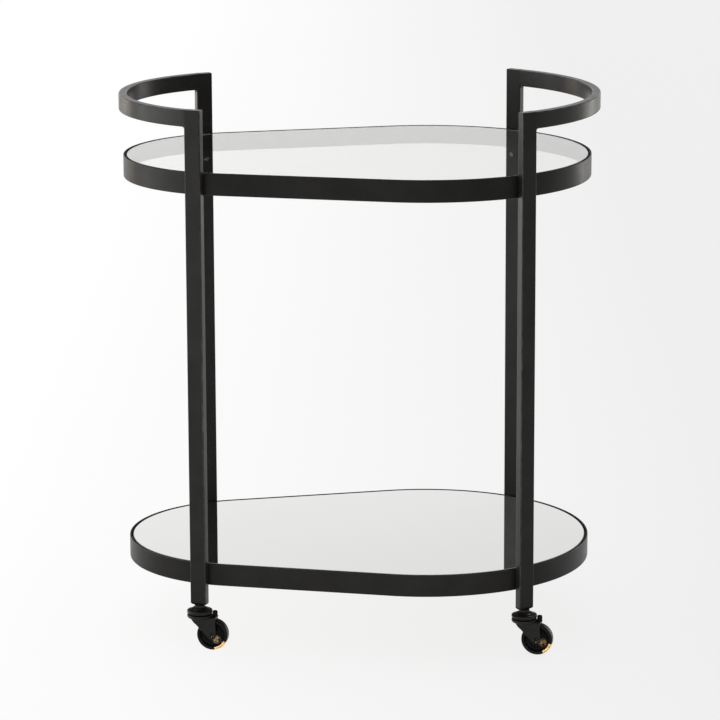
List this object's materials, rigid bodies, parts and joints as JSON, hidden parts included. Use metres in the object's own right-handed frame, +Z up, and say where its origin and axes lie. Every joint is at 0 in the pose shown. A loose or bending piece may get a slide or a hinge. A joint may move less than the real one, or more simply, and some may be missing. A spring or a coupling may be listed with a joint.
{
  "type": "bar cart",
  "caption": "Rolling bar cart: egg-shaped clear glass top and mirror bottom shelf in black rims, tube legs with curved end handles, swivel casters.",
  "frame": {"origin": "on the floor plane, at the middle of the cart's bounding box footprint", "axes": "+Z up, +X along the length towards the wide end, -Y is the front long side"},
  "size_m": [0.7288, 0.5036, 0.822],
  "materials": {
    "frame_black": "satin black powder coat",
    "rim_black": "satin black powder coat",
    "ledge_black": "matt black paint",
    "clear_glass": "clear polished glass with ground edges",
    "mirror": "silvered mirror with ground edges",
    "backing_board": "raw hardboard",
    "pad_clear": "clear silicone",
    "screw_steel": "dark zinc plated steel",
    "plug_black": "matt black plastic",
    "caster_black": "satin black on pressed steel",
    "axle_metal": "worn dark rivet steel",
    "wheel_black": "satin black",
    "tread_black": "black over brass, worn through on one stretch"
  },
  "bodies": {
    "cart": {"leg_front_left": "frame_black", "leg_front_right": "frame_black", "leg_back_left": "frame_black", "leg_back_right": "frame_black", "handle_left": "frame_black", "handle_right": "frame_black", "rim_top": "rim_black", "rim_bottom": "rim_black", "ledge_top": "ledge_black", "ledge_bottom": "ledge_black", "top_glass": "clear_glass", "mirror": "mirror", "mirror_backing": "backing_board", "glass_pad_front_left": "pad_clear", "glass_pad_left": "pad_clear", "glass_pad_back_left": "pad_clear", "glass_pad_front_right": "pad_clear", "glass_pad_right": "pad_clear", "glass_pad_back_right": "pad_clear", "screw_top_front_left": "screw_steel", "screw_low_front_left": "screw_steel", "screw_top_front_right": "screw_steel", "screw_low_front_right": "screw_steel", "screw_top_back_left": "screw_steel", "screw_low_back_left": "screw_steel", "screw_top_back_right": "screw_steel", "screw_low_back_right": "screw_steel", "leg_plug_front_left": "plug_black", "leg_plug_front_right": "plug_black", "leg_plug_back_left": "plug_black", "leg_plug_back_right": "plug_black", "caster_front_left_stem": "caster_black", "caster_front_left_cup": "caster_black", "caster_front_right_stem": "caster_black", "caster_front_right_cup": "caster_black", "caster_back_left_stem": "caster_black", "caster_back_left_cup": "caster_black", "caster_back_right_stem": "caster_black", "caster_back_right_cup": "caster_black"},
    "front_left_swivel": {"caster_front_left_fork": "caster_black", "caster_front_left_axle": "axle_metal"},
    "front_left_wheel": {"caster_front_left_wheel": "wheel_black", "caster_front_left_tread": "tread_black"},
    "front_right_swivel": {"caster_front_right_fork": "caster_black", "caster_front_right_axle": "axle_metal"},
    "front_right_wheel": {"caster_front_right_wheel": "wheel_black", "caster_front_right_tread": "tread_black"},
    "back_left_swivel": {"caster_back_left_fork": "caster_black", "caster_back_left_axle": "axle_metal"},
    "back_left_wheel": {"caster_back_left_wheel": "wheel_black", "caster_back_left_tread": "tread_black"},
    "back_right_swivel": {"caster_back_right_fork": "caster_black", "caster_back_right_axle": "axle_metal"},
    "back_right_wheel": {"caster_back_right_wheel": "wheel_black", "caster_back_right_tread": "tread_black"}
  },
  "joints": [
    {"name": "front_left_swivel_turn", "type": "hinge", "parent": "cart", "child": "front_left_swivel", "pos_m": [-0.24384, -0.18443, 0.0516], "axis": [0, 0, 1], "continuous": true},
    {"name": "front_left_wheel_roll", "type": "hinge", "parent": "front_left_swivel", "child": "front_left_wheel", "pos_m": [-0.22415, -0.1879, 0.0236], "axis": [0.1736, 0.9848, 0], "continuous": true},
    {"name": "front_right_swivel_turn", "type": "hinge", "parent": "cart", "child": "front_right_swivel", "pos_m": [0.24444, -0.21443, 0.0516], "axis": [0, 0, 1], "continuous": true},
    {"name": "front_right_wheel_roll", "type": "hinge", "parent": "front_right_swivel", "child": "front_right_wheel", "pos_m": [0.264, -0.21859, 0.0236], "axis": [0.2079, 0.9781, 0], "continuous": true},
    {"name": "back_left_swivel_turn", "type": "hinge", "parent": "cart", "child": "back_left_swivel", "pos_m": [-0.24384, 0.18443, 0.0516], "axis": [0, 0, 1], "continuous": true},
    {"name": "back_left_wheel_roll", "type": "hinge", "parent": "back_left_swivel", "child": "back_left_wheel", "pos_m": [-0.22389, 0.18303, 0.0236], "axis": [0.0698, 0.9976, 0], "continuous": true},
    {"name": "back_right_swivel_turn", "type": "hinge", "parent": "cart", "child": "back_right_swivel", "pos_m": [0.24444, 0.21443, 0.0516], "axis": [0, 0, 1], "continuous": true},
    {"name": "back_right_wheel_roll", "type": "hinge", "parent": "back_right_swivel", "child": "back_right_wheel", "pos_m": [0.26419, 0.2113, 0.0236], "axis": [0.1564, 0.9877, 0], "continuous": true}
  ]
}
